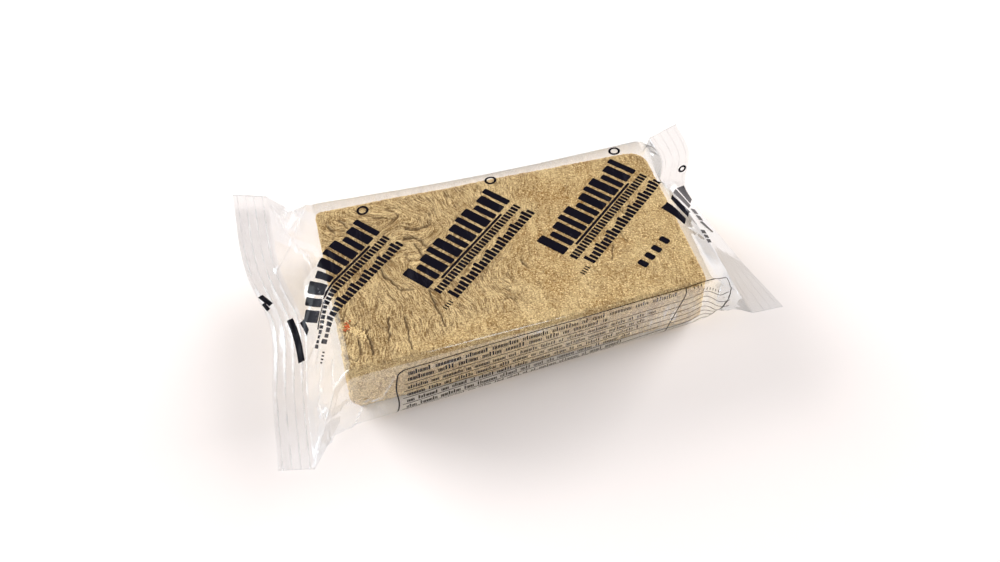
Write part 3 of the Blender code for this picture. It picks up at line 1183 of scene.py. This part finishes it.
def group_marks(sheet, origin, first=0):
    """One printed group: thick and thin bars, a ring, a rule, and rows of small bars."""
    run = np.array((math.cos(GROUP_SLANT), math.sin(GROUP_SLANT)))

    def put(patch, t, n):
        sheet.place_slanted(patch, origin, run, t, n)

    t = BIG_BAR_START
    for k in range(BIG_BAR_COUNT):
        wide, tall = BIG_BARS[k % len(BIG_BARS)]
        if k >= first:
            put(rounded_patch(wide, tall, 0.7), t + wide / 2, BIG_BAR_FOOT + tall / 2)
        t += wide + BIG_BAR_GAP
    put(ring_patch(5.4, 1.1), *GROUP_RING)
    put(rounded_patch(*GROUP_RULE, 0.5, 1.0), *GROUP_RULE_PLACE)
    for count, start, pitch, foot, widths, heights, radius in SMALL_BARS:
        for k in range(count):
            wide, tall = widths[k % len(widths)], heights[k % len(heights)]
            put(rounded_patch(wide, tall, radius), start + pitch * k, foot + tall / 2)


def weight_marks(sheet):
    """Four plain bars near the block's right end."""
    run = np.array(WEIGHT_RUN)
    for t in WEIGHT_BARS:
        sheet.place_slanted(rounded_patch(2.9, 4.6, 0.9), WEIGHT_ORIGIN, run, t, 0.0)


def ribbon(middle, side):
    """A strip of quads along a line of points, as far to either side as given."""
    count = len(middle)
    i = np.arange(count - 1)
    quads = np.stack((i, i + 1, i + count + 1, i + count), axis=1)
    return np.concatenate((middle - side, middle + side)), quads


def tick(start, end, width):
    """A short straight line of the given width, as one quad."""
    run = np.subtract(end, start)
    side = np.array((-run[1], run[0])) / np.linalg.norm(run) * width / 2
    return ribbon(np.array((start, end)), side)


def panel_line(along, depth):
    """Where a line at a depth under the panel's top line lies; it ripples past the block's end."""
    top = np.interp(along, *zip(*PANEL_TOP))
    rise = 1.6 * np.exp(-(((along - 73) / 3.5) ** 2)) - 2.6 * np.exp(-(((along - 80) / 3.6) ** 2))
    return top - depth + rise * min(1.0, depth / 10)


def curve_strip(points, width):
    """A line of the given width along points of a curve."""
    run = np.gradient(points, axis=0)
    run /= np.linalg.norm(run, axis=1)[:, None]
    return ribbon(points, np.stack((-run[:, 1], run[:, 0]), axis=1) * width / 2)


def row_of_ticks(sheet, random, depth, tall, stop):
    """Upright ticks in bunches of two to eight, tall ones single and low ones in pairs."""
    cursor = PANEL_LEFT[-1][0] - PANEL_LEAN * depth + 2.0
    while cursor < stop:
        bold = 1.0 + 0.4 * smoothstep(20, -40, cursor)
        for _ in range(int(random.integers(2, 9))):
            capital = random.random() < 0.3
            high = tall * (0.95 if capital else 0.68)
            width = (0.22 if capital else 0.16) * tall * bold
            foot = panel_line(cursor, depth) - tall / 2
            for shift in (0.0,) if capital else (-0.14, 0.16):
                x = cursor + shift * tall
                if foot > PANEL_FOOT and x < stop:
                    sheet.place_as_is(tick((x, foot), (x + 0.12 * high, foot + high), width))
            cursor += 0.55 * tall
        cursor += 0.75 * tall


def smooth_line(knots, count=24):
    """Points of a smooth curve through knots, spread evenly by knot."""
    knots = np.array(knots, float)
    rows = np.column_stack((np.linspace(0, 1, len(knots)), knots))
    return through(rows, np.linspace(0, 1, count))


def panel_marks(sheet, random):
    """The ruled panel: its frame, its rules, and rows of small upright ticks."""
    for knots, width in ((PANEL_LEFT, 0.60), (PANEL_COLUMN, 0.42), (PANEL_RIGHT, 0.50)):
        sheet.place_as_is(curve_strip(smooth_line(knots), width))
    for depth, line in ((0.0, 0.46), *((depth, 0.30) for depth in PANEL_RULES)):
        start = PANEL_LEFT[-1][0] - PANEL_LEAN * depth
        along = np.arange(start, PANEL_RIGHT[0][0] - 0.36 * depth, 0.8)
        around = panel_line(along, depth)
        shown = around > PANEL_FOOT
        if shown.sum() > 2:
            sheet.place_as_is(curve_strip(np.stack((along, around), axis=1)[shown], line))
    for depth, stop in HEADER_ROWS:
        row_of_ticks(sheet, random, depth, HEADER_LETTER, stop)
    for a, b in zip(PANEL_RULES, PANEL_RULES[1:]):
        stop = PANEL_COLUMN[0][0] - 4.0 - 1.1 * a
        row_of_ticks(sheet, random, (a + b) / 2, ROW_LETTER, stop)
    for depth, start, count in COLUMN_TICKS:
        for x in start + 1.5 * np.arange(count):
            foot = panel_line(x, depth)
            sheet.place_as_is(tick((x, foot), (x + 0.2, foot + 1.5), 0.35))


def a_length(name, description, default, low, high):
    """A setting for a length."""
    return FloatProperty(
        name=name, description=description, default=default, min=low, max=high, unit="LENGTH"
    )


def a_share(name, description, default):
    """A setting from 0 to 1."""
    return FloatProperty(
        name=name, description=description, default=default, min=0.0, max=1.0, subtype="FACTOR"
    )


def a_strength(name, description, default):
    """A setting for how strong a light is."""
    return FloatProperty(name=name, description=description, default=default, min=0.0)


def a_count(name, description, default, low=0):
    """A setting for a whole number."""
    return IntProperty(name=name, description=description, default=default, min=low)


def a_colour(name, description, default):
    """A setting for a colour."""
    return FloatVectorProperty(
        name=name, description=description, default=default, min=0.0, max=1.0, subtype="COLOR"
    )


class HalvaBlockSettings(bpy.types.PropertyGroup):
    """Sizes and colours of the pressed block and its crumb"""

    height: a_length("Height", "Height of the pressed block", 0.0272, 0.01, 0.0274)
    clearance: a_length(
        "Clearance", "How far the block's sides stay inside the frame's block", 0.0004, 0.0, 0.003
    )
    edge_radius: a_length("Edge radius", "Rounding of the block's top edges", 0.0018, 0.001, 0.008)
    back_bulge: a_length(
        "Back bulge", "How far the back leans out above its foot", 0.0013, 0.0, 0.002
    )
    toe: a_length("Toe", "How far the left front corner spreads at its foot", 0.0016, 0.0, 0.003)
    strand_relief: a_length("Strand relief", "Height of the pulled strands", 0.00020, 0.0, 0.001)
    grain_relief: a_length("Grain relief", "Height of the granular crumb", 0.00022, 0.0, 0.001)
    crack_depth: a_length(
        "Crack depth", "Depth of the fine cracks between strands", 0.00045, 0.0, 0.002
    )
    grains: a_count("Grains", "Pale grains in the surface", 8800)
    straw: a_colour("Straw", "Colour of the fibrous paste", (0.424, 0.290, 0.117))
    beige: a_colour("Beige", "Colour of the smoother streaks", (0.460, 0.328, 0.159))
    golden: a_colour("Golden", "Colour of the granular parts", (0.482, 0.283, 0.054))
    cream: a_colour("Cream", "Colour of the pale grains", (0.90, 0.735, 0.40))
    # Painted shade: the colour that cracks, pits and seams darken towards.
    crevice_shade: a_colour("Crevice", "Colour in cracks and pits", (0.135, 0.074, 0.024))
    orange: a_colour("Orange", "Colour of the one orange fleck", (0.62, 0.11, 0.02))


class HalvaFilmSettings(bpy.types.PropertyGroup):
    """Cells, colours and cover of the film"""

    stations: a_count("Cells along", "Cells over the block", 150, 20)
    sheet_cells: a_count("Cells around", "Cells across each sheet of the film", 140, 20)
    tint: a_colour("Tint", "Colour of the clear film", (0.80, 0.855, 0.91))
    # Whitened film, which also paints the film's highlights and glints.
    whitening_and_glint_colour: a_colour("Stress white", "Colour of whitened creases", (0.90, 0.93, 0.96))
    body_alpha: a_share("Body", "Cover of the film seen face on", 0.15)
    edge_alpha: a_share("Edge", "Cover of the film seen edge on", 0.80)
    haze_alpha: a_share("Haze", "Added cover of whitened film", 0.62)


class HalvaPrintSettings(bpy.types.PropertyGroup):
    """Colour and seed of the print"""

    ink: a_colour("Ink", "Colour of the print", (0.0055, 0.0050, 0.0100))
    seed: a_count("Seed", "Seed of the panel's ticks", 4)


class HalvaStageSettings(bpy.types.PropertyGroup):
    """Lights and colours of the stage"""

    right_power: a_strength("Right", "Power of the low soft light on the right", 100.0)
    left_power: a_strength("Left", "Power of the low soft light behind on the left", 100.0)
    top_power: a_strength("Top", "Power of the soft light overhead", 0.4)
    front_power: a_strength("Front", "Power of the low soft light in front", 7.8)
    side_power: a_strength("Side", "Power of the soft light above on the left", 6.2)
    card_glow: a_strength("Cards", "Radiance of the white cards that only show in the gloss", 0.9)
    card_colour: a_colour("Card colour", "Colour of the cards and glints", (0.87, 0.95, 1.0))
    glint_glow: a_strength("Glints", "Radiance of the small lights that only show in the gloss", 3.0)
    fill: a_colour("Fill", "Colour of the surrounding light", (1.0, 0.935, 0.915))
    fill_strength: a_strength("Fill strength", "Strength of the surrounding light", 0.155)
    floor: a_colour("Floor", "Colour of the floor", (0.90, 0.90, 0.90))


class HALVA_OT_block(bpy.types.Operator):
    """Make the pressed block with its strands, cracks and granular parts"""

    bl_idname = "halva.block"
    bl_label = "Pressed block"

    def execute(self, context):
        settings = context.scene.halva_block
        lattice, faces, base = block_shell(BLOCK_CELLS)
        points = block_form(lattice, BLOCK_CELLS, settings)
        data = mesh_from("halva_block", points, [faces, [base]])
        normals = read_values(data.vertex_normals, "vector", 3)
        height, grain, strand, hollow_shade, flow = crumb_fields(points, settings)
        grounded = lattice[:, 2] == 0
        normals[grounded, 2] = 0
        height = np.where(grounded, np.minimum(height, 0.0), height)
        points = points + normals * height[:, None]
        points[:, 2] = np.maximum(points[:, 2], BASE_LIFT)
        data.vertices.foreach_set("co", points.astype(np.float32).ravel())
        data.update()
        fields = {"grain": grain, "strand": strand, "hollow_shade": hollow_shade, "flow": flow}
        for name, values in fields.items():
            write_attribute(data, name, values)
        add_piece("halva_block", data, halva_material(settings), stands_for_node=True)
        return {"FINISHED"}


class HALVA_OT_grains(bpy.types.Operator):
    """Scatter pale grains in the block's surface, and loose crumbs and one orange fleck on it"""

    bl_idname = "halva.grains"
    bl_label = "Grains and crumbs"

    def execute(self, context):
        settings = context.scene.halva_block
        block = bpy.data.objects.get("halva_block")
        if block is None:
            raise RuntimeError("make the block before its grains")
        data = block.data
        points = read_values(data.vertices, "co", 3)
        normals = read_values(data.vertex_normals, "vector", 3)
        grain = read_values(data.attributes["grain"].data, "value")
        random = np.random.default_rng(9)
        pale = grain_material("halva_grain", settings.cream, settings.straw)
        self.grains(settings.grains, random, pale, points, normals, grain)
        self.crumbs(random, pale, points, normals)
        self.fleck(random, settings.orange, points, normals)
        return {"FINISHED"}

    def grains(self, count, random, material, points, normals, grain):
        """Pale grains set in the surface, most of them where the paste is granular."""
        weight = np.where(points[:, 2] > 0.001, 0.06 + grain**1.5, 0.0)
        chosen = random.choice(len(points), count, replace=False, p=weight / weight.sum())
        sizes = 0.00018 + 0.00040 * random.random(count) ** 2.2
        centres = points[chosen] + 0.0001 * random.normal(size=(count, 3))
        centres -= normals[chosen] * (0.38 * sizes)[:, None]
        shape = centres, normals[chosen], sizes, 0.6
        self.scatter("halva_grains", shape, (0.35, 1.0), random, material)

    def crumbs(self, random, material, points, normals):
        """A short trail of loose crumbs on the block's left end."""
        count = 130
        trail = random.random(count)
        x = -69.5 + 5.5 * trail + random.normal(0, 0.8, count)
        y = -20.8 - 6.5 * trail + random.normal(0, 1.0, count)
        near = self.nearest_on_top(points, np.stack((x, y), axis=1) * MM)
        sizes = 0.00022 + 0.00034 * random.random(count)
        shape = points[near], normals[near], sizes, 0.5
        self.scatter("loose_crumbs", shape, (0.5, 1.0), random, material)

    def fleck(self, random, orange, points, normals):
        """One small orange fleck at the head of the trail."""
        centre = np.array((-70.4, -20.2)) * MM
        count = 26
        places = centre + random.normal(0, 1, (count, 2)) * np.array((0.0007, 0.0012))
        places[:, 0] += 0.35 * (places[:, 1] - centre[1])
        near = self.nearest_on_top(points, places)
        sizes = 0.00035 + 0.0003 * random.random(count)
        bright = grain_material("halva_orange", orange, (0.45, 0.16, 0.05))
        shape = points[near], normals[near], sizes, 0.4
        self.scatter("orange_fleck", shape, (0.2, 0.9), random, bright)

    def nearest_on_top(self, points, places):
        """The point of the block's top nearest to each place in plan."""
        below = 1.0 * (points[:, 2] <= 0.024)
        return [
            np.argmin((points[:, 0] - x) ** 2 + (points[:, 1] - y) ** 2 + below) for x, y in places
        ]

    def scatter(self, name, shape, tones, random, material):
        """One piece of grains from their centres, normals, sizes and flatness, each with a tone."""
        centres, normals, sizes, flatness = shape
        made, faces = joined_grains(centres, normals, sizes, flatness, random)
        mesh = mesh_from(name, made, [faces])
        write_attribute(mesh, "tone", np.repeat(random.uniform(*tones, len(sizes)), 12))
        add_piece(name, mesh, material)


def film_rings(settings):
    """The places along the pack and around the tube where the film's cells meet."""
    right = [
        *np.linspace(HALF_BLOCK, HALF_BLOCK + GABLE, GABLE_CELLS + 1)[1:],
        *np.linspace(HALF_BLOCK + GABLE, FILM_END, BAND_CELLS + 1)[1:],
    ]
    body = np.linspace(-HALF_BLOCK, HALF_BLOCK, settings.stations + 1)
    stations = np.array([*[-place for place in reversed(right)], *body, *right])
    shares = np.linspace(0.0, 1.0, settings.sheet_cells + 1)
    top = SEAL_FOLD + SEAL_WIDTH * shares
    bottom = SEAL_FOLD - SEAL_WIDTH * shares[-2:0:-1]
    return stations, np.concatenate((top, bottom))


def film_faces(count, size):
    """The quads between the film's rings, and the strips that close its two outer edges."""
    i, j = np.meshgrid(np.arange(count - 1) * size, np.arange(size), indexing="ij")
    following = (j + 1) % size
    quads = np.stack((i + j, i + size + j, i + size + following, i + following), axis=-1)
    last = size // 2
    k = np.arange(1, last - 1)
    closing = np.stack((k, k + 1, size - k - 1, size - k), axis=1)
    tips = np.array(((0, 1, size - 1), (last - 1, last, last + 1)))
    far = (count - 1) * size
    return [quads.reshape(-1, 4), closing[:, ::-1], tips[:, ::-1], closing + far, tips + far]


def film_cover(along, around):
    """How much the film covers: more on the back fold, where the film lies double, and on the right
    gable, less in the seals. The extra cover on the back fold and the right gable also paints shade,
    standing in for the shadow that the film doesn't cast; the upper left seal gets extra cover that
    makes it darker.
    """
    b = around / MM
    past = np.abs(along) - HALF_BLOCK
    on_left = along < 0
    welded = smoothstep(GABLE - 0.001, GABLE + 0.001, past)
    fold = np.exp(-(((b - 119) / 7) ** 2)) * (past < 0)
    left = -0.35 + 0.35 * smoothstep(60, 105, b)
    # Painted shade: the right gable's extra cover.
    right = (0.6 + 1.0 * smoothstep(25, 45, b)) * (1 - welded)
    gable = np.where(on_left, left, right) * smoothstep(0.0, 0.008, past)
    upper = smoothstep(70, 105, b) * (1 - smoothstep(124, 131, b)) * welded * on_left
    return (1 + 1.2 * fold + gable) * (1 - 0.30 * welded) + 1.3 * upper


class HALVA_OT_film(bpy.types.Operator):
    """Make the clear film: a creased tube with gables and two crimped seals"""

    bl_idname = "halva.film"
    bl_label = "Film"

    def execute(self, context):
        settings = context.scene.halva_film
        stations, ring = film_rings(settings)
        along, around = (v.ravel() for v in np.meshgrid(stations, ring, indexing="ij"))
        points, _, haze = film_surface(along, around)
        data = mesh_from("pack_film", points, film_faces(len(stations), len(ring)))
        # The haze holds whitening and painted highlights; the cover also paints shade.
        write_attribute(data, "haze", haze)
        write_attribute(data, "cover", film_cover(along, around))
        film = add_piece("pack_film", data, film_material(settings), stands_for_node=True)
        film.visible_shadow = False
        return {"FINISHED"}


class HALVA_OT_print(bpy.types.Operator):
    """Print the film: slanted groups of plain bars, and the ruled panel on the front"""

    bl_idname = "halva.print"
    bl_label = "Bar print and panel"

    def execute(self, context):
        settings = context.scene.halva_print
        rows = Sheet()
        for k in GROUPS:
            origin = np.array(GROUP_ORIGIN) + k * np.array(GROUP_STEP)
            group_marks(rows, origin, first=2 if k == GROUPS[0] else 0)
        end_marks(rows)
        weight_marks(rows)
        panel = Sheet()
        panel_marks(panel, np.random.default_rng(settings.seed))
        ink = ink_material(settings)
        for name, sheet in (("print_rows", rows), ("print_panel", panel)):
            made = add_piece(name, sheet.mesh(name), ink)
            made.visible_shadow = False
        return {"FINISHED"}


def area_light(name, power, size, place, colour, glossy=True, diffuse=True):
    """A soft rectangular light that faces the origin and that the camera doesn't see."""
    data = bpy.data.lights.new(name, "AREA")
    data.shape = "RECTANGLE"
    data.size, data.size_y = size
    data.energy = power
    data.color = colour
    made = bpy.data.objects.new(name, data)
    made.location = place
    made.rotation_euler = (-Vector(place)).to_track_quat("-Z", "Y").to_euler()
    made.visible_glossy = glossy
    made.visible_diffuse = diffuse
    made.visible_camera = False
    bpy.context.scene.collection.objects.link(made)


class HALVA_OT_stage(bpy.types.Operator):
    """Set the plain floor, the soft lights and the camera"""

    bl_idname = "halva.stage"
    bl_label = "Stage"

    def execute(self, context):
        settings = context.scene.halva_stage
        scene = context.scene
        self.floor(scene, settings)
        self.lights(settings)
        scene.world = self.surroundings(settings)
        scene.view_settings.view_transform = "Standard"
        self.camera(scene)
        return {"FINISHED"}

    def floor(self, scene, settings):
        """A plain matt floor, just under the pack's base."""
        reach = FLOOR_REACH
        corners = [(-reach, -reach, 0), (reach, -reach, 0), (reach, reach, 0), (-reach, reach, 0)]
        data = bpy.data.meshes.new("floor")
        data.from_pydata(corners, [], [(0, 1, 2, 3)])
        material, tree, shader = new_material("floor_paper")
        colour = with_alpha(settings.floor)
        matt = {"Base Color": colour, "Roughness": 0.9, "Specular IOR Level": 0.0}
        set_shader(tree, shader, matt)
        data.materials.append(material)
        floor = bpy.data.objects.new("floor", data)
        floor.location.z = FLOOR_Z
        scene.collection.objects.link(floor)

    def lights(self, settings):
        """Soft lights that stay out of the gloss, and cards that show only in it."""
        for name, power, size, place in (
            ("right", settings.right_power, (2.0, 1.0), (2.18, 0.71, 0.72)),
            ("left", settings.left_power, (1.6, 1.0), (-1.49, 1.776, 0.62)),
            ("top", settings.top_power, (1.0, 1.0), (0.0, 0.1, 1.3)),
            ("front", settings.front_power, (1.4, 0.34), (0.45, -1.05, 0.18)),
            ("side", settings.side_power, (0.8, 0.8), (-0.97, 0.0, 1.0)),
        ):
            area_light(name, power, size, place, tuple(settings.fill), glossy=False)
        for name, glow, size, place in (
            ("card_left", settings.card_glow, (2.6, 2.2), (-1.6, 0.4, 1.0)),
            ("card_right", settings.card_glow * 0.10, (2.4, 1.2), (1.6, 0.8, 0.62)),
            ("card_back", settings.card_glow * 0.10, (2.6, 0.6), (0.0, 2.0, 0.33)),
            ("glint_left", settings.glint_glow, (0.3, 0.9), (-1.0, 0.1, 0.75)),
            ("glint_front", settings.glint_glow, (0.18, 0.25), (0.12, -0.6, 1.1)),
        ):
            power = glow * math.pi * size[0] * size[1]
            area_light(name, power, size, place, settings.card_colour, diffuse=False)

    def surroundings(self, settings):
        """An even, slightly warm light from all round, mostly left out of the gloss."""
        world = bpy.data.worlds.new("studio")
        world.use_nodes = True
        tree = world.node_tree
        background = tree.nodes["Background"]
        background.inputs["Color"].default_value = with_alpha(settings.fill)
        path = add(tree, "ShaderNodeLightPath")
        dim = spread(tree, path.outputs["Is Glossy Ray"], 0.0, 1.0, settings.fill_strength, 0.08)
        tree.links.new(dim, background.inputs["Strength"])
        return world

    def camera(self, scene):
        """The camera looks down on the pack from the front, a little from the left and rolled."""
        azimuth, elevation, roll = (math.radians(angle) for angle in CAMERA_ANGLES)
        back = Vector(
            (
                math.sin(azimuth) * math.cos(elevation),
                -math.cos(azimuth) * math.cos(elevation),
                math.sin(elevation),
            )
        )
        right = (-back).cross(Vector((0, 0, 1))).normalized()
        up = right.cross(-back)
        x = math.cos(roll) * right + math.sin(roll) * up
        y = -math.sin(roll) * right + math.cos(roll) * up
        data = bpy.data.cameras.new("camera")
        data.sensor_width = 36.0
        data.lens = 36.0
        data.clip_start = 0.01
        camera = bpy.data.objects.new("camera", data)
        turned = Matrix((x, y, back)).transposed().to_4x4()
        place = Vector(CAMERA_TARGET) + back * CAMERA_DISTANCE
        camera.matrix_world = Matrix.Translation(place) @ turned
        scene.collection.objects.link(camera)
        scene.camera = camera


class HALVA_PT_pack(bpy.types.Panel):
    """The steps of the halva pack, in order"""

    bl_label = "Halva pack"
    bl_space_type = "VIEW_3D"
    bl_region_type = "UI"
    bl_category = "Halva pack"

    def draw(self, context):
        for step in STEPS:
            self.layout.operator(step.bl_idname)
        for group in GROUPS_OF_SETTINGS:
            box = self.layout.box()
            settings = getattr(context.scene, group)
            for name in settings.__annotations__:
                box.prop(settings, name)


STEPS = (HALVA_OT_block, HALVA_OT_grains, HALVA_OT_film, HALVA_OT_print, HALVA_OT_stage)
GROUPS_OF_SETTINGS = {
    "halva_block": HalvaBlockSettings,
    "halva_film": HalvaFilmSettings,
    "halva_print": HalvaPrintSettings,
    "halva_stage": HalvaStageSettings,
}


def register():
    for cls in (*GROUPS_OF_SETTINGS.values(), *STEPS, HALVA_PT_pack):
        bpy.utils.register_class(cls)
    for name, cls in GROUPS_OF_SETTINGS.items():
        setattr(bpy.types.Scene, name, PointerProperty(type=cls))


def unregister():
    for name in GROUPS_OF_SETTINGS:
        delattr(bpy.types.Scene, name)
    for cls in reversed((*GROUPS_OF_SETTINGS.values(), *STEPS, HALVA_PT_pack)):
        bpy.utils.unregister_class(cls)


def main():
    register()
    bpy.ops.halva.block()
    bpy.ops.halva.grains()
    bpy.ops.halva.film()
    bpy.ops.halva.print()
    bpy.ops.halva.stage()


if __name__ == "__main__":
    main()
